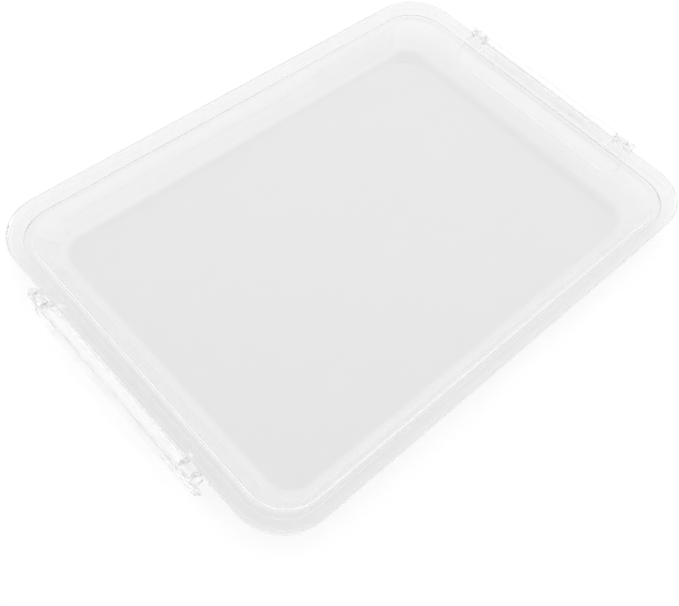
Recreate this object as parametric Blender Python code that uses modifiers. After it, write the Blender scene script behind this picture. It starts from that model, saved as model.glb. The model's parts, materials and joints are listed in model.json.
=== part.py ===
"""Clear plastic cover for a half-size sheet pan, with a snap latch at each short end.

The cover lies on its flat panel with its cavity up. X runs along its length, Y across it, Z up.
The latches hang outside the rim on short pins. They swing out and up and over the rim, where
their snap ridges catch the rolled rim of the pan.
"""
import math

import bmesh
import bpy
from mathutils import Vector

MM = 0.001

# Cover, overall
RIM_LENGTH = 464.0 * MM
RIM_WIDTH = 331.5 * MM
COVER_HEIGHT = 36.1 * MM
WALL = 1.6 * MM
RIM_CORNER_RADIUS = 40.0 * MM
PANEL_CORNER_RADIUS = 20.0 * MM

# Cover, section from the skirt in to the panel
SKIRT_DRAFT = 0.3 * MM
FLANGE_DROP = 7.0 * MM
PAN_SEAT_WIDTH = 7.6 * MM
SHOULDER_RISE = 0.8 * MM
SHOULDER_RUN = 0.8 * MM
SHOULDER_WIDTH = 4.0 * MM
WALL_LEAN = 13.5 * MM
END_SHOULDER_EXTRA = 1.7 * MM
END_WALL_EXTRA = 5.4 * MM
SKIRT_FILLET = 1.2 * MM
SHOULDER_FILLET = 0.5 * MM
WALL_TOP_FILLET = 4.0 * MM
WALL_FOOT_FILLET = 10.0 * MM
EDGE_ROUND = 0.5 * MM

# Hinges
HINGE_OUT = 4.8 * MM
HINGE_DROP = 2.5 * MM
PIN_RADIUS = 1.3 * MM
EAR_RADIUS = 2.5 * MM
EAR_WIDTH = 2.5 * MM
EAR_ROOT = 0.8 * MM
PIN_FIT = 0.3 * MM
SWING_FIT = 0.4 * MM
KNUCKLE_LENGTH = 9.2 * MM
PIN_RECESS = 0.2 * MM
MOULD_HOLE = 3.8 * MM
MOULD_HOLE_GAP = 0.4 * MM

# Latches
LATCH_LENGTH = 190.8 * MM
LATCH_REACH = 31.5 * MM
LATCH_END_PIECE = 3.5 * MM
BARREL_RADIUS = 3.5 * MM
PLATE_THICKNESS = 2.2 * MM
GRIP_HEIGHT = 14.5 * MM
GRIP_EXTRA = 1.9 * MM
GRIP_INSET = 2.0 * MM
PLATE_CORNER_RADIUS = 12.0 * MM
RIDGE_DROP = 5.8 * MM
RIDGE_LIP = 0.9 * MM
RIDGE_SLOPE = 3.0 * MM
RIDGE_REACH = 4.4 * MM
RIDGE_LENGTH = 124.0 * MM
TILT_RIGHT = math.radians(40.0)
TILT_LEFT = math.radians(8.0)

CORNER_STEPS = 12
FILLET_STEPS = 5
ROUND_STEPS = 24
SINK = 0.5 * MM

HALF_X = RIM_LENGTH / 2
HALF_Y = RIM_WIDTH / 2
HINGE_X = HALF_X + HINGE_OUT
HINGE_Z = COVER_HEIGHT - HINGE_DROP
OUTER_EAR = LATCH_LENGTH / 2 - LATCH_END_PIECE - SWING_FIT - EAR_WIDTH / 2
INNER_EAR = OUTER_EAR - EAR_WIDTH - KNUCKLE_LENGTH - 2 * SWING_FIT
EAR_CENTRES = [side * y for side in (-1, 1) for y in (INNER_EAR, OUTER_EAR)]
EAR_BORE = PIN_RADIUS + PIN_FIT
KNUCKLE_BORE = PIN_RADIUS + SWING_FIT

for old in list(bpy.data.objects):
    bpy.data.objects.remove(old)


def new_collection(name):
    """A collection of that name, linked to the scene."""
    collection = bpy.data.collections.new(name)
    bpy.context.scene.collection.children.link(collection)
    return collection


PARTS = new_collection("sheet_pan_cover")
CUTTERS = new_collection("cutters")


def material(name, colour, roughness, alpha=1.0):
    """A plain plastic."""
    result = bpy.data.materials.new(name)
    result.use_nodes = True
    shader = result.node_tree.nodes["Principled BSDF"]
    shader.inputs["Base Color"].default_value = (*colour, 1.0)
    shader.inputs["Roughness"].default_value = roughness
    shader.inputs["Metallic"].default_value = 0.0
    shader.inputs["Alpha"].default_value = alpha
    return result


CLEAR = material("clear_plastic", (0.90, 0.91, 0.92), 0.08, 0.35)
FROSTED = material("frosted_plastic", (0.93, 0.94, 0.95), 0.35, 0.85)
PIN_PLASTIC = material("pin_plastic", (0.88, 0.89, 0.90), 0.2, 0.6)


def add_object(name, mesh_build, collection, finish=None):
    """An object from a bmesh, with its faces turned outwards."""
    bmesh.ops.remove_doubles(mesh_build, verts=mesh_build.verts, dist=1e-7)
    bmesh.ops.recalc_face_normals(mesh_build, faces=mesh_build.faces)
    mesh = bpy.data.meshes.new(name)
    mesh_build.to_mesh(mesh)
    mesh_build.free()
    result = bpy.data.objects.new(name, mesh)
    collection.objects.link(result)
    if finish:
        mesh.materials.append(finish)
    else:
        result.hide_render = True
        result.display_type = "WIRE"
    return result


def boolean(target, tool, operation):
    """Adds an exact Boolean of that tool to the target."""
    step = target.modifiers.new(tool.name, "BOOLEAN")
    step.operation = operation
    step.solver = "EXACT"
    step.object = tool
    tool.parent = target


def arc(centre_a, centre_b, radius, start, end, steps):
    """Points along an arc, from one angle to the other."""
    points = []
    for i in range(steps + 1):
        angle = start + (end - start) * i / steps
        points.append((centre_a + radius * math.cos(angle), centre_b + radius * math.sin(angle)))
    return points


def prism(outline, place, low, high):
    """A closed outline extruded from low to high. place(a, b, height) gives the corner."""
    build = bmesh.new()
    base = build.faces.new([build.verts.new(place(a, b, low)) for a, b in outline])
    moved = bmesh.ops.extrude_face_region(build, geom=[base])
    shift = Vector(place(0, 0, high)) - Vector(place(0, 0, low))
    corners = [item for item in moved["geom"] if isinstance(item, bmesh.types.BMVert)]
    bmesh.ops.translate(build, verts=corners, vec=shift)
    return build


def along_y(a, b, height):
    """An outline in X and Z, extruded along Y."""
    return (a, height, b)


def along_x(a, b, height):
    """An outline in Y and Z, extruded along X."""
    return (height, a, b)


def along_z(a, b, height):
    """An outline in X and Y, extruded along Z."""
    return (a, b, height)


def rectangle(a_low, a_high, b_low, b_high):
    """The four corners of a rectangle."""
    return [(a_low, b_low), (a_high, b_low), (a_high, b_high), (a_low, b_high)]


def circle(a, b, radius):
    """A full circle of points."""
    return arc(a, b, radius, 0, 2 * math.pi, ROUND_STEPS)[:-1]


def fillet(before, corner, after, radius):
    """The arc that rounds the corner of a section."""
    before, corner, after = Vector(before), Vector(corner), Vector(after)
    way_in = (before - corner).normalized()
    way_out = (after - corner).normalized()
    half = way_in.angle(way_out) / 2
    reach = radius / math.tan(half)
    centre = corner + (way_in + way_out).normalized() * radius / math.sin(half)
    start = corner + way_in * reach - centre
    end = corner + way_out * reach - centre
    first = math.atan2(start.y, start.x)
    turn = math.remainder(math.atan2(end.y, end.x) - first, 2 * math.pi)
    return arc(centre.x, centre.y, radius, first, first + turn, FILLET_STEPS)


def cover_section():
    """Inset from the rim and height of the cavity side, from the skirt's edge in to the panel."""
    flange = COVER_HEIGHT - FLANGE_DROP
    seat_end = WALL + SKIRT_DRAFT + PAN_SEAT_WIDTH
    shoulder = seat_end + SHOULDER_RUN
    wall_top = shoulder + SHOULDER_WIDTH
    wall_foot = wall_top + WALL_LEAN
    corners = [
        (WALL, COVER_HEIGHT, 0),
        (WALL + SKIRT_DRAFT, flange, SKIRT_FILLET),
        (seat_end, flange, SHOULDER_FILLET),
        (shoulder, flange + SHOULDER_RISE, SHOULDER_FILLET),
        (wall_top, flange + SHOULDER_RISE, WALL_TOP_FILLET),
        (wall_foot, WALL, WALL_FOOT_FILLET),
        (wall_foot + 2 * WALL_FOOT_FILLET, WALL, 0),
    ]
    points = [corners[0][:2]]
    for before, corner, after in zip(corners, corners[1:], corners[2:]):
        points += fillet(before[:2], corner[:2], after[:2], corner[2])
    return points, shoulder, wall_top, wall_foot


def cover_ring(inset, end_inset, radius, height):
    """One rounded rectangle of the cover."""
    x = HALF_X - end_inset - radius
    y = HALF_Y - inset - radius
    points = []
    for turn, (side_x, side_y) in enumerate(((1, 1), (-1, 1), (-1, -1), (1, -1))):
        start = turn * math.pi / 2
        points += arc(side_x * x, side_y * y, radius, start, start + math.pi / 2, CORNER_STEPS)
    return [(a, b, height) for a, b in points]


def make_cover():
    """The shell, its hinge ears, their bores and the square holes under them."""
    section, shoulder, wall_top, wall_foot = cover_section()
    build = bmesh.new()
    rings = []
    for inset, height in section:
        on_shoulder = min(max((inset - shoulder) / (wall_top - shoulder), 0), 1)
        on_wall = min(max((inset - wall_top) / (wall_foot - wall_top), 0), 1)
        end_inset = inset + END_SHOULDER_EXTRA * on_shoulder + END_WALL_EXTRA * on_wall
        inward = inset / section[-1][0]
        radius = RIM_CORNER_RADIUS + (PANEL_CORNER_RADIUS - RIM_CORNER_RADIUS) * inward
        corners = cover_ring(inset, end_inset, radius, height)
        rings.append([build.verts.new(corner) for corner in corners])
    for outer, inner in zip(rings, rings[1:]):
        for i, vert in enumerate(outer):
            following = (i + 1) % len(outer)
            build.faces.new((vert, outer[following], inner[following], inner[i]))
    build.faces.new(rings[-1])
    cover = add_object("cover_shell", build, PARTS, CLEAR)
    if cover.data.polygons[-1].normal.z < 0:
        cover.data.flip_normals()

    shell = cover.modifiers.new("wall", "SOLIDIFY")
    shell.thickness = WALL
    shell.offset = -1
    shell.use_even_offset = True
    rounding = cover.modifiers.new("skirt_edge", "BEVEL")
    rounding.width = EDGE_ROUND
    rounding.segments = 2
    rounding.limit_method = "ANGLE"
    rounding.angle_limit = math.radians(60)

    for side, end in ((1, "right"), (-1, "left")):
        for i, centre in enumerate(EAR_CENTRES):
            name = f"{end}_{i}"
            profile = arc(HINGE_X, HINGE_Z, EAR_RADIUS, -math.pi / 2, math.pi / 2, ROUND_STEPS // 2)
            profile.append((HALF_X - EAR_ROOT, HINGE_Z + EAR_RADIUS - EDGE_ROUND))
            profile.append((HALF_X - EAR_ROOT, HINGE_Z - EAR_RADIUS))
            outline = [(side * a, b) for a, b in profile]
            low, high = centre - EAR_WIDTH / 2, centre + EAR_WIDTH / 2
            ear = add_object(f"ear_{name}", prism(outline, along_y, low, high), CUTTERS)
            boolean(cover, ear, "UNION")
        for i, centre in enumerate(EAR_CENTRES):
            outline = circle(side * HINGE_X, HINGE_Z, EAR_BORE)
            low, high = centre - EAR_WIDTH, centre + EAR_WIDTH
            bore = add_object(f"bore_{end}_{i}", prism(outline, along_y, low, high), CUTTERS)
            boolean(cover, bore, "DIFFERENCE")
        for half, where in ((-1, "front"), (1, "rear")):
            far = HALF_X - WALL - SKIRT_DRAFT - MOULD_HOLE_GAP
            near = far - MOULD_HOLE
            inner = INNER_EAR - EAR_WIDTH / 2 - MOULD_HOLE
            outline = rectangle(side * near, side * far, half * inner, half * (inner + MOULD_HOLE))
            low = COVER_HEIGHT - FLANGE_DROP - 2 * WALL
            high = COVER_HEIGHT - FLANGE_DROP + WALL
            hole = add_object(f"hole_{end}_{where}", prism(outline, along_z, low, high), CUTTERS)
            boolean(cover, hole, "DIFFERENCE")
    return cover


def plate_outline(half_length, top, bottom, radius):
    """A plate in Y and Z with its two lower corners rounded."""
    right = arc(half_length - radius, bottom + radius, radius, 0, -math.pi / 2, FILLET_STEPS + 1)
    left = [(-a, b) for a, b in reversed(right)]
    return [(half_length, top), *right, *left, (-half_length, top)]


def make_latch(name, side, tilt):
    """A latch with its hinge axis as its origin, hanging from the barrel."""
    half = LATCH_LENGTH / 2
    inner_face = BARREL_RADIUS - PLATE_THICKNESS
    barrel = circle(0, 0, BARREL_RADIUS)
    latch = add_object(name, prism(barrel, along_y, -half, half), PARTS, FROSTED)

    outline = plate_outline(half, 0, -LATCH_REACH, PLATE_CORNER_RADIUS)
    plate = prism(outline, along_x, inner_face, BARREL_RADIUS)
    boolean(latch, add_object(f"plate_{name}", plate, CUTTERS), "UNION")

    grip_half = half - GRIP_INSET
    grip_corner = PLATE_CORNER_RADIUS - GRIP_INSET
    grip_top = GRIP_HEIGHT - LATCH_REACH
    outline = plate_outline(grip_half, grip_top, GRIP_INSET - LATCH_REACH, grip_corner)
    grip = prism(outline, along_x, BARREL_RADIUS - SINK, BARREL_RADIUS + GRIP_EXTRA)
    boolean(latch, add_object(f"grip_{name}", grip, CUTTERS), "UNION")

    ridge_tip = BARREL_RADIUS + RIDGE_REACH
    outline = [
        (BARREL_RADIUS - SINK, -RIDGE_DROP),
        (ridge_tip, -RIDGE_DROP),
        (ridge_tip, -RIDGE_DROP - RIDGE_LIP),
        (BARREL_RADIUS - SINK, -RIDGE_DROP - RIDGE_LIP - RIDGE_SLOPE),
    ]
    ridge = prism(outline, along_y, -RIDGE_LENGTH / 2, RIDGE_LENGTH / 2)
    boolean(latch, add_object(f"ridge_{name}", ridge, CUTTERS), "UNION")

    for i, centre in enumerate(EAR_CENTRES):
        reach = BARREL_RADIUS + SINK
        slot_half = EAR_WIDTH / 2 + SWING_FIT
        outline = rectangle(-reach, reach, -reach - SWING_FIT, reach)
        slot = prism(outline, along_y, centre - slot_half, centre + slot_half)
        boolean(latch, add_object(f"slot_{name}_{i}", slot, CUTTERS), "DIFFERENCE")
    for i, centre in enumerate(((INNER_EAR + OUTER_EAR) / 2, -(INNER_EAR + OUTER_EAR) / 2)):
        outline = circle(0, 0, KNUCKLE_BORE)
        reach = KNUCKLE_LENGTH / 2 + SWING_FIT
        bore = prism(outline, along_y, centre - reach, centre + reach)
        boolean(latch, add_object(f"knuckle_{name}_{i}", bore, CUTTERS), "DIFFERENCE")

    latch.location = (side * HINGE_X, 0, HINGE_Z)
    latch.rotation_euler = (0, tilt, 0 if side > 0 else math.pi)


def make_pins():
    """Four short pins, each across one pair of ears."""
    reach = (OUTER_EAR - INNER_EAR + EAR_WIDTH) / 2 - PIN_RECESS
    middle = (OUTER_EAR + INNER_EAR) / 2
    for side, end in ((1, "right"), (-1, "left")):
        for half, where in ((-1, "front"), (1, "rear")):
            build = prism(circle(0, 0, PIN_RADIUS), along_y, -reach, reach)
            pin = add_object(f"hinge_pin_{end}_{where}", build, PARTS, PIN_PLASTIC)
            pin.location = (side * HINGE_X, half * middle, HINGE_Z)


make_cover()
make_latch("latch_right", 1, TILT_RIGHT)
make_latch("latch_left", -1, TILT_LEFT)
make_pins()
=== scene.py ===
# %% [markdown]
# # A clear cover for a half-size sheet pan
#
# The cover is one thin moulding of clear plastic: a flat panel, four sloped walls, a flange that
# sits on the pan and a short skirt that stands round the pan's rim. Two frosted snap latches hang
# from short pins at its ends. The imported solids give every piece its place, so the first step
# loads them.

# %% Load the imported solids
import json
import math

import bmesh
import bpy
from mathutils import Matrix, Vector


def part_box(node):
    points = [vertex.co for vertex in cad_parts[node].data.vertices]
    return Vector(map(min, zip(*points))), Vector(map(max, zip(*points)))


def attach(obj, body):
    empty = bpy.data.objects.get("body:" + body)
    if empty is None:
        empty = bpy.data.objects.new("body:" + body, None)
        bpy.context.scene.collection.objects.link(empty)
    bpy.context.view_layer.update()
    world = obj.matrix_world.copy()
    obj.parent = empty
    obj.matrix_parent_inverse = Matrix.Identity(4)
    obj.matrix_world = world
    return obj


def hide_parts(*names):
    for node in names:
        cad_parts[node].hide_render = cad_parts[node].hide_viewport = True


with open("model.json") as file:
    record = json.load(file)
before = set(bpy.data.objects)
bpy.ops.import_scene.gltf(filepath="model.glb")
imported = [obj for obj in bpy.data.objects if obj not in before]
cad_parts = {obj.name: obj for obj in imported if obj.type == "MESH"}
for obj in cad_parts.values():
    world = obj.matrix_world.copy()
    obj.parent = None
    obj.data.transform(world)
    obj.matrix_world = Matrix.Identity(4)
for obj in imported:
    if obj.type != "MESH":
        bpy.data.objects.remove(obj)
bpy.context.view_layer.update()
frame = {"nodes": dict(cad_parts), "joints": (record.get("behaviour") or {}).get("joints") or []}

MM = 0.001
hinges = {joint["name"]: Vector(joint["pos_m"]) for joint in frame["joints"]}

# %% [markdown]
# ## The camera
#
# The camera stands beyond the left front corner and looks down into the cavity at about 56
# degrees. It is aimed at a point on the rim's plane and then rolled a little about its own view,
# so that the far short end rises to the right. The place is measured from the centre of the rim.

# %% Place the camera
RIM_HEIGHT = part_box("cover_shell")[1][2]
CAMERA_FROM_RIM = Vector((-363.2, -280.5, 546.2)) * MM
AIM_ON_RIM = Vector((-73.6, -52.3, 0.0)) * MM
CAMERA_ROLL = math.radians(10.6)
SENSOR_WIDTH = 36.0
FOCAL_LENGTH = 47.7

rim_centre = Vector((0, 0, RIM_HEIGHT))
view_line = AIM_ON_RIM - CAMERA_FROM_RIM
turn = view_line.to_track_quat("-Z", "Y").to_matrix() @ Matrix.Rotation(CAMERA_ROLL, 3, "Z")
camera = bpy.data.objects.new("camera", bpy.data.cameras.new("camera"))
camera.matrix_world = Matrix.Translation(rim_centre + CAMERA_FROM_RIM) @ turn.to_4x4()
camera.data.sensor_width = SENSOR_WIDTH
camera.data.lens = FOCAL_LENGTH
bpy.context.scene.collection.objects.link(camera)
bpy.context.scene.camera = camera
print("camera stands", round(CAMERA_FROM_RIM.length, 3), "m from the rim's centre")

# %% [markdown]
# ## The floor and the light
#
# A clear piece shows whatever is behind it, so the floor decides most of its look. The floor is a
# plain white sheet. It takes the shadow of the cover as any floor does, and a little white is
# added to what the camera, a reflection or a ray through the plastic sees, so that it reads as
# white without more light on the cover. Soft light comes from all round, and two square lamps, one
# to the left and one to the right, shape the frosted pieces. The lamps are hidden from reflections,
# because a hard square would show in the flat panel. A reflection also finds the space overhead
# darker than the sides, which leaves a bright streak on every slope that faces a side.

# %% Lay the floor


def new_material(name):
    """An empty material and its output."""
    material = bpy.data.materials.new(name)
    material.use_nodes = True
    material.node_tree.nodes.clear()
    output = material.node_tree.nodes.new("ShaderNodeOutputMaterial")
    return material, material.node_tree.nodes, material.node_tree.links, output


def any_of(nodes, links, values):
    """One where any of the values is one."""
    total = values[0]
    for value in values[1:]:
        largest = nodes.new("ShaderNodeMath")
        largest.operation = "MAXIMUM"
        links.new(total, largest.inputs[0])
        links.new(value, largest.inputs[1])
        total = largest.outputs[0]
    return total


def seen_rays(nodes, links):
    """One for a ray that ends up in the picture directly, by a reflection or through plastic."""
    path = nodes.new("ShaderNodeLightPath")
    kinds = ("Is Camera Ray", "Is Glossy Ray", "Is Transmission Ray")
    return any_of(nodes, links, [path.outputs[kind] for kind in kinds])


FLOOR_WHITE = 0.36
FLOOR_LIFT = 0.64
FLOOR_HALF = 6.0

floor_mesh = bmesh.new()
bmesh.ops.create_grid(floor_mesh, x_segments=1, y_segments=1, size=FLOOR_HALF)
floor_data = bpy.data.meshes.new("floor")
floor_mesh.to_mesh(floor_data)
floor_mesh.free()
floor = bpy.data.objects.new("floor", floor_data)
bpy.context.scene.collection.objects.link(floor)

white_floor, nodes, links, output = new_material("white_floor")
paper = nodes.new("ShaderNodeBsdfDiffuse")
paper.inputs["Color"].default_value = (FLOOR_WHITE, FLOOR_WHITE, FLOOR_WHITE, 1)
lift = nodes.new("ShaderNodeEmission")
lift.inputs["Color"].default_value = (1, 1, 1, 1)
strength = nodes.new("ShaderNodeMath")
strength.operation = "MULTIPLY"
strength.inputs[1].default_value = FLOOR_LIFT
links.new(seen_rays(nodes, links), strength.inputs[0])
links.new(strength.outputs[0], lift.inputs["Strength"])
both = nodes.new("ShaderNodeAddShader")
links.new(paper.outputs[0], both.inputs[0])
links.new(lift.outputs[0], both.inputs[1])
links.new(both.outputs[0], output.inputs["Surface"])
floor_data.materials.append(white_floor)
print("floor laid at height", round(floor.location.z, 4))

# %% Light it
SKY = 1.02
SIDES_SEEN = 1.15
OVERHEAD_SEEN = 0.1
OVERHEAD_FROM = 0.60
OVERHEAD_FULL = 0.95
LAMP_SIZE = 0.6
LAMP_WATTS = 4.0

world = bpy.data.worlds.new("studio")
world.use_nodes = True
bpy.context.scene.world = world
nodes, links = world.node_tree.nodes, world.node_tree.links
nodes.clear()
output = nodes.new("ShaderNodeOutputWorld")
lighting = nodes.new("ShaderNodeBackground")
lighting.inputs["Color"].default_value = (1, 1, 1, 1)
lighting.inputs["Strength"].default_value = SKY
shown = nodes.new("ShaderNodeBackground")
shown.inputs["Color"].default_value = (1, 1, 1, 1)
overhead = nodes.new("ShaderNodeTexGradient")
overhead.texture_mapping.mapping_x = "Z"
ceiling = nodes.new("ShaderNodeMapRange")
ceiling.inputs["From Min"].default_value = OVERHEAD_FROM
ceiling.inputs["From Max"].default_value = OVERHEAD_FULL
ceiling.inputs["To Min"].default_value = SIDES_SEEN
ceiling.inputs["To Max"].default_value = OVERHEAD_SEEN
links.new(overhead.outputs["Fac"], ceiling.inputs["Value"])
links.new(ceiling.outputs[0], shown.inputs["Strength"])
choose = nodes.new("ShaderNodeMixShader")
links.new(seen_rays(nodes, links), choose.inputs[0])
links.new(lighting.outputs[0], choose.inputs[1])
links.new(shown.outputs[0], choose.inputs[2])
links.new(choose.outputs[0], output.inputs["Surface"])


def soft_lamp(name, place):
    """A square lamp aimed at the middle of the cover."""
    lamp = bpy.data.lights.new(name, "AREA")
    lamp.shape = "SQUARE"
    lamp.size = LAMP_SIZE
    lamp.energy = LAMP_WATTS
    holder = bpy.data.objects.new(name, lamp)
    holder.visible_glossy = False
    holder.visible_transmission = False
    aim = (rim_centre - Vector(place)).to_track_quat("-Z", "Y").to_matrix().to_4x4()
    holder.matrix_world = Matrix.Translation(Vector(place)) @ aim
    bpy.context.scene.collection.objects.link(holder)


soft_lamp("left_lamp", (-1.0, 1.2, 1.3))
soft_lamp("right_lamp", (1.5, -1.0, 1.3))
bpy.context.scene.view_settings.view_transform = "Standard"

# %% [markdown]
# ## Clear plastic
#
# Moulded clear plastic is glass-like, but never perfect: it has a slow waviness where it cooled,
# a faint haze, and hairline scratches from washing up. One node group makes them: it puts out a
# height, which each plastic turns into a bump, and a roughness. It also puts out a grey that
# changes from the panel up to the flange; on the cover this is painted shade, a slightly darker
# grey on the upper walls and flange. Two kinds of ray pass the plastic straight: those that carry
# shadow, because lamps shine through a thin sheet, and those that have already bent several
# times inside it, which would otherwise end as black lines.

# %% Waves, hairlines and painted shade as one group
# From these heights up, the grey turns to the wall grey: painted shade on the upper walls and
# flange.
WALL_SHADE_FROM = 6.0 * MM
WALL_SHADE_FULL = 24.0 * MM
WAVE_SCALE = 9.0
HAZE_SCALE = 22.0
LINE_TURN = math.radians(24)
LINE_STRETCH = (14, 260, 260)
LINE_FROM = 0.66
LINE_FULL = 0.74


def group_of(name, inputs, outputs):
    """A shader node group with inputs and outputs of the kinds given."""
    group = bpy.data.node_groups.new(name, "ShaderNodeTree")
    for label, kind, value in inputs:
        socket = group.interface.new_socket(label, in_out="INPUT", socket_type=kind)
        if kind == "NodeSocketFloat":
            socket.default_value = value
    for label, kind in outputs:
        group.interface.new_socket(label, in_out="OUTPUT", socket_type=kind)
    start = group.nodes.new("NodeGroupInput")
    end = group.nodes.new("NodeGroupOutput")
    return group, group.nodes, group.links, start, end


moulded, nodes, links, start, end = group_of(
    "moulded_surface_and_painted_shade",
    [
        ("Place", "NodeSocketVector", None),
        ("Panel Colour", "NodeSocketColor", None),
        ("Shaded Wall Colour", "NodeSocketColor", None),
        ("Waves", "NodeSocketFloat", 0.4),
        ("Hairlines", "NodeSocketFloat", 0.3),
        ("Rough Low", "NodeSocketFloat", 0.02),
        ("Rough High", "NodeSocketFloat", 0.08),
    ],
    [
        ("Colour", "NodeSocketColor"),
        ("Height", "NodeSocketFloat"),
        ("Roughness", "NodeSocketFloat"),
    ],
)
part_place = nodes.new("ShaderNodeSeparateXYZ")
up_wall_shade = nodes.new("ShaderNodeMapRange")
up_wall_shade.inputs["From Min"].default_value = WALL_SHADE_FROM
up_wall_shade.inputs["From Max"].default_value = WALL_SHADE_FULL
# Painted shade: the grey turns from the panel's grey to the wall's grey with height.
painted_shade_mix = nodes.new("ShaderNodeMix")
painted_shade_mix.data_type = "RGBA"
waves = nodes.new("ShaderNodeTexNoise")
waves.inputs["Scale"].default_value = WAVE_SCALE
waves.inputs["Detail"].default_value = 1.0
stretch = nodes.new("ShaderNodeMapping")
stretch.inputs["Rotation"].default_value = (0, 0, LINE_TURN)
stretch.inputs["Scale"].default_value = LINE_STRETCH
hairlines = nodes.new("ShaderNodeTexNoise")
hairlines.inputs["Scale"].default_value = 2.0
hairlines.inputs["Detail"].default_value = 2.0
keep_few = nodes.new("ShaderNodeMapRange")
keep_few.inputs["From Min"].default_value = LINE_FROM
keep_few.inputs["From Max"].default_value = LINE_FULL
haze = nodes.new("ShaderNodeTexNoise")
haze.inputs["Scale"].default_value = HAZE_SCALE
haze.inputs["Detail"].default_value = 3.0
wave_height = nodes.new("ShaderNodeMath")
wave_height.operation = "MULTIPLY"
line_height = nodes.new("ShaderNodeMath")
line_height.operation = "MULTIPLY"
total_height = nodes.new("ShaderNodeMath")
total_height.operation = "ADD"
rough = nodes.new("ShaderNodeMapRange")
links.new(start.outputs["Place"], part_place.inputs[0])
links.new(part_place.outputs["Z"], up_wall_shade.inputs["Value"])
links.new(up_wall_shade.outputs[0], painted_shade_mix.inputs["Factor"])
links.new(start.outputs["Panel Colour"], painted_shade_mix.inputs["A"])
links.new(start.outputs["Shaded Wall Colour"], painted_shade_mix.inputs["B"])
links.new(painted_shade_mix.outputs["Result"], end.inputs["Colour"])
links.new(start.outputs["Place"], waves.inputs["Vector"])
links.new(start.outputs["Place"], stretch.inputs["Vector"])
links.new(start.outputs["Place"], haze.inputs["Vector"])
links.new(stretch.outputs[0], hairlines.inputs["Vector"])
links.new(hairlines.outputs[0], keep_few.inputs["Value"])
links.new(waves.outputs[0], wave_height.inputs[0])
links.new(start.outputs["Waves"], wave_height.inputs[1])
links.new(keep_few.outputs[0], line_height.inputs[0])
links.new(start.outputs["Hairlines"], line_height.inputs[1])
links.new(wave_height.outputs[0], total_height.inputs[0])
links.new(line_height.outputs[0], total_height.inputs[1])
links.new(haze.outputs[0], rough.inputs["Value"])
links.new(start.outputs["Rough Low"], rough.inputs["To Min"])
links.new(start.outputs["Rough High"], rough.inputs["To Max"])
links.new(total_height.outputs[0], end.inputs["Height"])
links.new(rough.outputs[0], end.inputs["Roughness"])
print("group:", moulded.name, "with", len(moulded.nodes), "nodes")

# %% The plastics


def grey(level):
    """A grey with a barely cold cast, as of clear plastic."""
    return (level, level, level + 0.002, 1)


LAST_BEND = 4.5
BUMP_SHARE = 0.25
BUMP_DEPTH = 0.4 * MM


def plastic(name, panel, walls, clear, refraction, waves, hairlines, rough, through):
    """A moulded plastic. A walls grey darker than the panel grey is painted shade up the walls and
    flange. through is how much light a straight ray keeps at each face.
    """
    material, nodes, links, output = new_material(name)
    place = nodes.new("ShaderNodeTexCoord")
    surface = nodes.new("ShaderNodeGroup")
    surface.node_tree = moulded
    surface.inputs["Panel Colour"].default_value = grey(panel)
    surface.inputs["Shaded Wall Colour"].default_value = grey(walls)
    surface.inputs["Waves"].default_value = waves
    surface.inputs["Hairlines"].default_value = hairlines
    surface.inputs["Rough Low"].default_value = rough[0]
    surface.inputs["Rough High"].default_value = rough[1]
    bump = nodes.new("ShaderNodeBump")
    bump.inputs["Strength"].default_value = BUMP_SHARE
    bump.inputs["Distance"].default_value = BUMP_DEPTH
    shader = nodes.new("ShaderNodeBsdfPrincipled")
    shader.inputs["Metallic"].default_value = 0.0
    shader.inputs["Transmission Weight"].default_value = clear
    shader.inputs["IOR"].default_value = refraction
    links.new(place.outputs["Object"], surface.inputs["Place"])
    links.new(surface.outputs["Colour"], shader.inputs["Base Color"])
    links.new(surface.outputs["Height"], bump.inputs["Height"])
    links.new(surface.outputs["Roughness"], shader.inputs["Roughness"])
    links.new(bump.outputs[0], shader.inputs["Normal"])
    passing = nodes.new("ShaderNodeBsdfTransparent")
    passing.inputs["Color"].default_value = (through, through, through, 1)
    choose = nodes.new("ShaderNodeMixShader")
    path = nodes.new("ShaderNodeLightPath")
    spent = nodes.new("ShaderNodeMath")
    spent.operation = "GREATER_THAN"
    spent.inputs[1].default_value = LAST_BEND
    links.new(path.outputs["Ray Depth"], spent.inputs[0])
    straight = any_of(nodes, links, [path.outputs["Is Shadow Ray"], spent.outputs[0]])
    links.new(straight, choose.inputs[0])
    links.new(shader.outputs[0], choose.inputs[1])
    links.new(passing.outputs[0], choose.inputs[2])
    links.new(choose.outputs[0], output.inputs["Surface"])
    return material


# The cover's walls grey is darker than its panel grey: painted shade on the upper walls and flange.
CLEAR = plastic(
    "clear_cover", panel=0.915, walls=0.893, clear=1.0, refraction=1.4,
    waves=0.5, hairlines=0.05, rough=(0.0, 0.04), through=0.97,
)
PIN_CLEAR = plastic(
    "clear_pin", panel=0.93, walls=0.93, clear=1.0, refraction=1.36,
    waves=0.2, hairlines=0.0, rough=(0.03, 0.1), through=0.9,
)
FROSTED = plastic(
    "frosted_latch", panel=0.985, walls=0.985, clear=0.82, refraction=1.36,
    waves=0.4, hairlines=0.1, rough=(0.35, 0.5), through=0.95,
)
print("plastics:", [m.name for m in (CLEAR, PIN_CLEAR, FROSTED)])

# %% [markdown]
# ## The cover's section
#
# One section runs all round the cover: down the inside of the skirt, across the flange that sits
# on the pan, up a small shoulder, then over a round edge, down the sloped wall and through a wide
# fillet into the panel. It is a short list of corners, each with its own rounding. A helper turns
# each corner into an arc, so that every bend is smooth where light runs along it.

# %% Round the section's corners
WALL = 1.6 * MM
FLANGE_DROP = 7.0 * MM
PAN_SEAT_WIDTH = 7.6 * MM
SHOULDER_WIDTH = 4.0 * MM
WALL_LEAN = 13.5 * MM
DRAFT = 0.3 * MM
STEP = 0.8 * MM
END_SHOULDER_EXTRA = 1.7 * MM
END_WALL_EXTRA = 5.4 * MM
PANEL_RUN = 20 * MM


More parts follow.
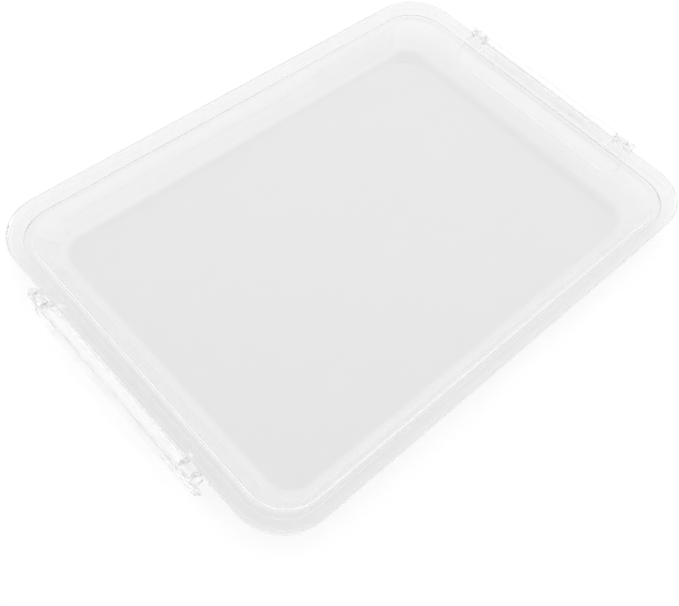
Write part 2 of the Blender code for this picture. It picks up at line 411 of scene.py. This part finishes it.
def rounded_corner(before, corner, after, radius, steps):
    """Points along the arc that rounds one corner of a section."""
    before, corner, after = Vector(before), Vector(corner), Vector(after)
    way_in, way_out = (before - corner).normalized(), (after - corner).normalized()
    half = way_in.angle(way_out) / 2
    centre = corner + (way_in + way_out).normalized() * radius / math.sin(half)
    start = corner + way_in * radius / math.tan(half) - centre
    end = corner + way_out * radius / math.tan(half) - centre
    first = math.atan2(start.y, start.x)
    turn = math.remainder(math.atan2(end.y, end.x) - first, 2 * math.pi)
    angles = [first + turn * i / steps for i in range(steps + 1)]
    return [centre + Vector((math.cos(a), math.sin(a))) * radius for a in angles]


flange = RIM_HEIGHT - FLANGE_DROP
seat_end = WALL + DRAFT + PAN_SEAT_WIDTH
shoulder = seat_end + STEP
wall_top = shoulder + SHOULDER_WIDTH
wall_foot = wall_top + WALL_LEAN
section_corners = [
    ((WALL + DRAFT, flange), 1.2 * MM, 5),
    ((seat_end, flange), 0.5 * MM, 4),
    ((shoulder, flange + STEP), 0.5 * MM, 4),
    ((wall_top, flange + STEP), 4.0 * MM, 8),
    ((wall_foot, WALL), 10.0 * MM, 12),
]
section = [Vector((WALL, RIM_HEIGHT))]
panel_start = (wall_foot + PANEL_RUN, WALL)
path_points = [section[0], *[corner for corner, radius, steps in section_corners], panel_start]
for i, (corner, radius, steps) in enumerate(section_corners):
    section += rounded_corner(path_points[i], corner, path_points[i + 2], radius, steps)
print("section:", len(section), "points, from", section[0][:], "to", section[-1][:])

# %% [markdown]
# ## The cover's shell
#
# The cover could be inset again and again from one face, but its corners are rounder at the panel
# than an even inset would leave them, and its short walls slope more than its long ones. So the
# skirt's edge is drawn as a rounded rectangle, a plane with its four corners bevelled, and then
# extruded from one point of the section to the next. Each new ring keeps its points' places on
# the corners and takes its own half sizes, radius and height. Solidify then gives the sheet its
# wall, on the outside, and a small bevel rounds the skirt's edge.

# %% Draw the rings
RIM_CORNER = 40 * MM
PANEL_CORNER = 20 * MM
CORNER_STEPS = 22
SKIRT_SOFT = 0.6 * MM
SHARP_EDGE = math.radians(35)
HARD_EDGE = math.radians(60)
rim_half = Vector((464.0, 331.5)) * MM / 2


def ring_at(inset, height):
    """Half length, half width, corner radius and height of the cover at a point of its section."""
    on_shoulder = min(max((inset - shoulder) / (wall_top - shoulder), 0), 1)
    on_wall = min(max((inset - wall_top) / (wall_foot - wall_top), 0), 1)
    end_inset = inset + END_SHOULDER_EXTRA * on_shoulder + END_WALL_EXTRA * on_wall
    radius = RIM_CORNER + (PANEL_CORNER - RIM_CORNER) * inset / section[-1].x
    return rim_half.x - end_inset, rim_half.y - inset, radius, height


def first_ring(build, half_x, half_y, radius, height):
    """The edges of a rounded rectangle: a plane with bevelled corners and no face."""
    made = bmesh.ops.create_grid(build, x_segments=1, y_segments=1, size=1.0)
    bmesh.ops.scale(build, verts=made["verts"], vec=(half_x, half_y, 1))
    bmesh.ops.translate(build, verts=made["verts"], vec=(0, 0, height))
    bmesh.ops.bevel(
        build, geom=made["verts"], offset=radius, offset_type="OFFSET", affect="VERTICES",
        segments=CORNER_STEPS, profile=0.5, material=-1,
    )
    bmesh.ops.delete(build, geom=list(build.faces), context="FACES_ONLY")
    return list(build.edges)


def next_ring(build, edges, old, new):
    """Extrudes one ring into the next; every point keeps its place on its corner."""
    pulled = bmesh.ops.extrude_edge_only(build, edges=edges)["geom"]
    for vert in (item for item in pulled if isinstance(item, bmesh.types.BMVert)):
        across = (abs(vert.co.x) - (old[0] - old[2])) / old[2]
        along = (abs(vert.co.y) - (old[1] - old[2])) / old[2]
        vert.co.x = math.copysign(new[0] - new[2] + across * new[2], vert.co.x)
        vert.co.y = math.copysign(new[1] - new[2] + along * new[2], vert.co.y)
        vert.co.z = new[3]
    return [item for item in pulled if isinstance(item, bmesh.types.BMEdge) and item.is_boundary]


def finish_mesh(build, name):
    """An object from a bmesh, smooth except over its sharp edges."""
    mesh = bpy.data.meshes.new(name)
    build.to_mesh(mesh)
    build.free()
    mesh.shade_smooth()
    mesh.set_sharp_from_angle(angle=SHARP_EDGE)
    piece = bpy.data.objects.new(name, mesh)
    bpy.context.scene.collection.objects.link(piece)
    return piece


build = bmesh.new()
rings = [ring_at(point.x, point.y) for point in section]
ring_edges = first_ring(build, *rings[0])
for outer, inner in zip(rings, rings[1:]):
    ring_edges = next_ring(build, ring_edges, outer, inner)
panel = bmesh.ops.edgeloop_fill(build, edges=ring_edges)["faces"]
bmesh.ops.recalc_face_normals(build, faces=build.faces)
if panel[0].normal.z < 0:
    bmesh.ops.reverse_faces(build, faces=build.faces)
sheet = finish_mesh(build, "cover")
wall = sheet.modifiers.new("wall", "SOLIDIFY")
wall.thickness = WALL
wall.offset = -1
wall.use_even_offset = True
edge = sheet.modifiers.new("skirt_edge", "BEVEL")
edge.width = SKIRT_SOFT
edge.segments = 3
edge.limit_method = "ANGLE"
edge.angle_limit = HARD_EDGE
print("cover sheet:", len(sheet.data.polygons), "faces before its wall")

# %% [markdown]
# ## Hinge ears and moulding holes
#
# Each latch turns between two pairs of ears that stand out of the skirt. Beside each inner ear the
# flange has a small square hole, left by the tool that forms the ear's back. The ears are short
# prisms with a round end, joined to the shell by a Boolean, because they are one moulding with it;
# the pin bores and the holes are cut the same way.

# %% Join the ears, cut the bores and holes
EAR_WIDTH = 2.5 * MM
EAR_RADIUS = 2.5 * MM
EAR_ROOT = 0.8 * MM
EAR_BORE = 1.6 * MM
PIN_PROUD = 0.2 * MM
NECK_DROP = 0.5 * MM
HOLE = 3.8 * MM
HOLE_GAP = 0.4 * MM
ROD_SIDES = 40
pins = sorted(n for n in frame["nodes"] if n.startswith("hinge_pin"))
tools = []


def solid_tool(build, name):
    """A closed tool for a Boolean."""
    bmesh.ops.recalc_face_normals(build, faces=build.faces)
    tool = finish_mesh(build, name)
    tools.append(tool)
    return tool


def apply_tool(piece, tool, operation):
    """Adds an exact Boolean of the tool."""
    step = piece.modifiers.new(tool.name, "BOOLEAN")
    step.operation = operation
    step.solver = "EXACT"
    step.object = tool


def rod(radius, low, high, x, z, sides=ROD_SIDES):
    """A round rod along Y."""
    build = bmesh.new()
    turn = Matrix.Rotation(math.pi / 2, 4, "X")
    place = Matrix.Translation((x, (low + high) / 2, z)) @ turn
    bmesh.ops.create_cone(
        build, cap_ends=True, segments=sides, radius1=radius, radius2=radius,
        depth=high - low, matrix=place,
    )
    return build


def block(low, high):
    """A box between two corners."""
    build = bmesh.new()
    low, high = Vector(low), Vector(high)
    size = Matrix.Diagonal((*(high - low), 1))
    bmesh.ops.create_cube(build, size=1.0, matrix=Matrix.Translation((low + high) / 2) @ size)
    return build


ear_centres = []
for pin in pins:
    low, high = (Vector(corner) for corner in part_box(pin))
    side = 1 if low.x > 0 else -1
    axis = (low + high) / 2
    for end in (low.y + EAR_WIDTH / 2 - PIN_PROUD, high.y - EAR_WIDTH / 2 + PIN_PROUD):
        ear_centres.append((side, end, axis))
for i, (side, centre, axis) in enumerate(ear_centres):
    low, high = centre - EAR_WIDTH / 2, centre + EAR_WIDTH / 2
    tab = rod(EAR_RADIUS, low, high, axis.x, axis.z)
    x_low, x_high = sorted((side * (rim_half.x - EAR_ROOT), axis.x))
    neck = block((x_low, low, axis.z - EAR_RADIUS), (x_high, high, axis.z + EAR_RADIUS - NECK_DROP))
    apply_tool(sheet, solid_tool(tab, f"ear_{i}"), "UNION")
    apply_tool(sheet, solid_tool(neck, f"neck_{i}"), "UNION")
for i, (side, centre, axis) in enumerate(ear_centres):
    bore = rod(EAR_BORE, centre - EAR_WIDTH, centre + EAR_WIDTH, axis.x, axis.z)
    apply_tool(sheet, solid_tool(bore, f"bore_{i}"), "DIFFERENCE")
for pin in pins:
    low, high = (Vector(corner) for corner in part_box(pin))
    side = 1 if low.x > 0 else -1
    half = 1 if low.y > 0 else -1
    inner = half * (min(abs(low.y), abs(high.y)) - PIN_PROUD - HOLE)
    far = side * (rim_half.x - WALL - DRAFT - HOLE_GAP)
    x_low, x_high = sorted((far, far - side * HOLE))
    y_low, y_high = sorted((inner, inner + half * HOLE))
    hole = block((x_low, y_low, flange - 2 * WALL), (x_high, y_high, flange + WALL))
    apply_tool(sheet, solid_tool(hole, f"hole_{pin}"), "DIFFERENCE")
print("ears:", len(ear_centres), "tools:", len(tools))

# %% Settle the cover as one mesh


def settle(piece, name, material, body, *nodes):
    """Applies the modifiers, drops the tools and hands the piece to its body."""
    whole = piece.evaluated_get(bpy.context.evaluated_depsgraph_get())
    mesh = bpy.data.meshes.new_from_object(whole)
    mesh.name = name
    mesh.materials.clear()
    mesh.materials.append(material)
    mesh.shade_smooth()
    mesh.set_sharp_from_angle(angle=SHARP_EDGE)
    for tool in [*tools, piece]:
        bpy.data.objects.remove(tool)
    tools.clear()
    finished = bpy.data.objects.new(name, mesh)
    bpy.context.scene.collection.objects.link(finished)
    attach(finished, body)
    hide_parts(*nodes)
    print(name, "has", len(mesh.polygons), "faces")
    return finished


cover = settle(sheet, "clear_cover", CLEAR, "cover", "cover_shell")

# %% [markdown]
# ## The snap latches
#
# A latch is a long frosted strip. A round barrel along its top runs beside the skirt, a plate hangs
# from it, and the lower half of the plate is thicker where fingers push. A ridge on its outer side
# faces inward once the latch has swung up over the rim, where it catches the pan. Low ribs run along
# both ends of its back. The latch is drawn upright with its hinge at the origin, then turned to the
# angle at which it hangs and moved to its hinge, so one drawing serves both ends.

# %% Draw one latch
LATCH_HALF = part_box("latch_right")[1][1]
REACH = 31.5 * MM
BARREL = 3.5 * MM
BARREL_SIDES = 48
PLATE = 2.2 * MM
GRIP_HEIGHT = 14.5 * MM
GRIP_EXTRA = 1.9 * MM
GRIP_INSET = 2.0 * MM
PLATE_CORNER = 12 * MM
STRIP_SOFT = 0.5 * MM
GRIP_SOFT = 0.4 * MM
RIDGE_HALF = 62 * MM
RIDGE_DROP = 5.8 * MM
RIDGE_LIP = 0.9 * MM
RIDGE_SLOPE = 3.0 * MM
RIDGE_REACH = 4.4 * MM
SINK = 0.5 * MM
RIB_COUNT = 4
RIB_LENGTH = 24 * MM
RIB_WIDTH = 0.9 * MM
RIB_HEIGHT = 0.3 * MM
RIB_MIDDLE = 77 * MM
RIB_FIRST = -9 * MM
RIB_PITCH = 4.2 * MM
SWING = 0.4 * MM
KNUCKLE_BORE = 1.7 * MM
RIGHT_HANG = math.radians(40.0)
LEFT_HANG = math.radians(8.0)


def plate(half_length, top, bottom, radius, near, far, soft):
    """A plate that stands along Y, with rounded lower corners and softened edges."""
    build = bmesh.new()
    made = bmesh.ops.create_grid(build, x_segments=1, y_segments=1, size=0.5)
    stand = Matrix.Rotation(math.pi / 2, 4, "Y")
    size = Matrix.Diagonal((1, 2 * half_length, top - bottom, 1))
    place = Matrix.Translation((near, 0, (top + bottom) / 2))
    bmesh.ops.transform(build, matrix=place @ size @ stand, verts=made["verts"])
    lower = [v for v in build.verts if v.co.z < (top + bottom) / 2]
    bmesh.ops.bevel(
        build, geom=lower, offset=radius, offset_type="OFFSET", affect="VERTICES",
        segments=10, profile=0.5, material=-1,
    )
    pulled = bmesh.ops.extrude_face_region(build, geom=list(build.faces))
    moved = [item for item in pulled["geom"] if isinstance(item, bmesh.types.BMVert)]
    bmesh.ops.translate(build, verts=moved, vec=(far - near, 0, 0))
    bmesh.ops.recalc_face_normals(build, faces=build.faces)
    rim = [e for e in build.edges if e.calc_face_angle(0) > HARD_EDGE]
    bmesh.ops.bevel(
        build, geom=rim, offset=soft, offset_type="OFFSET", affect="EDGES",
        segments=3, profile=0.5, material=-1,
    )
    return build


def draw_latch(name):
    """The latch with its hinge at the origin, and its tools."""
    near = BARREL - PLATE
    body = finish_mesh(rod(BARREL, -LATCH_HALF, LATCH_HALF, 0, 0, BARREL_SIDES), name)
    strip = plate(LATCH_HALF, 0, -REACH, PLATE_CORNER, near, BARREL, STRIP_SOFT)
    apply_tool(body, solid_tool(strip, f"strip_{name}"), "UNION")
    grip = plate(
        LATCH_HALF - GRIP_INSET, GRIP_HEIGHT - REACH, GRIP_INSET - REACH,
        PLATE_CORNER - GRIP_INSET, BARREL - SINK, BARREL + GRIP_EXTRA, GRIP_SOFT,
    )
    apply_tool(body, solid_tool(grip, f"grip_{name}"), "UNION")
    ridge = block(
        (BARREL - SINK, -RIDGE_HALF, -RIDGE_DROP - RIDGE_LIP - RIDGE_SLOPE),
        (BARREL + RIDGE_REACH, RIDGE_HALF, -RIDGE_DROP),
    )
    tip = [v for v in ridge.verts if v.co.x > BARREL and v.co.z < -RIDGE_DROP - RIDGE_LIP]
    bmesh.ops.translate(ridge, verts=tip, vec=(0, 0, RIDGE_SLOPE))
    apply_tool(body, solid_tool(ridge, f"ridge_{name}"), "UNION")
    ribs = bmesh.new()
    for end in (-1, 1):
        for i in range(RIB_COUNT):
            size = Matrix.Diagonal((SINK + RIB_HEIGHT, RIB_LENGTH, RIB_WIDTH, 1))
            middle = (near + (SINK - RIB_HEIGHT) / 2, end * RIB_MIDDLE, RIB_FIRST - i * RIB_PITCH)
            bmesh.ops.create_cube(ribs, size=1.0, matrix=Matrix.Translation(middle) @ size)
    apply_tool(body, solid_tool(ribs, f"ribs_{name}"), "UNION")
    return body


def cut_latch(body, name, side):
    """Slots for the ears and bores for the pins."""
    for i, (ear_side, centre, axis) in enumerate(ear_centres):
        if ear_side != side:
            continue
        low, high = centre - EAR_WIDTH / 2 - SWING, centre + EAR_WIDTH / 2 + SWING
        reach = BARREL + SINK
        slot = block((-reach, low, -reach - SWING), (reach, high, reach))
        apply_tool(body, solid_tool(slot, f"slot_{name}_{i}"), "DIFFERENCE")
    for pin in pins:
        low, high = (Vector(corner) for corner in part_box(pin))
        if low.x * side < 0:
            continue
        bore = rod(KNUCKLE_BORE, low.y + EAR_WIDTH, high.y - EAR_WIDTH, 0, 0)
        apply_tool(body, solid_tool(bore, f"knuckle_{name}_{pin}"), "DIFFERENCE")


for name, side, tilt, joint in (
    ("right", 1, RIGHT_HANG, "right_latch_hinge"),
    ("left", -1, LEFT_HANG, "left_latch_hinge"),
):
    body = draw_latch(f"latch_{name}_draft")
    cut_latch(body, name, side)
    latch = settle(body, f"snap_latch_{name}", FROSTED, f"{name}_latch", f"latch_{name}")
    hang = Matrix.Rotation(tilt, 4, "Y")
    face_out = Matrix.Rotation(0 if side > 0 else math.pi, 4, "Z")
    latch.data.transform(Matrix.Translation(hinges[joint]) @ face_out @ hang)

# %% [markdown]
# ## The pins
#
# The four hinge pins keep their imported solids: short round rods that only show as a bright line
# between the ears. They get the clear finish of the cover, a little hazier.

# %% Finish the pins
for pin in pins:
    solid = frame["nodes"][pin]
    solid.data.materials.clear()
    solid.data.materials.append(PIN_CLEAR)
    print(pin, "finished")
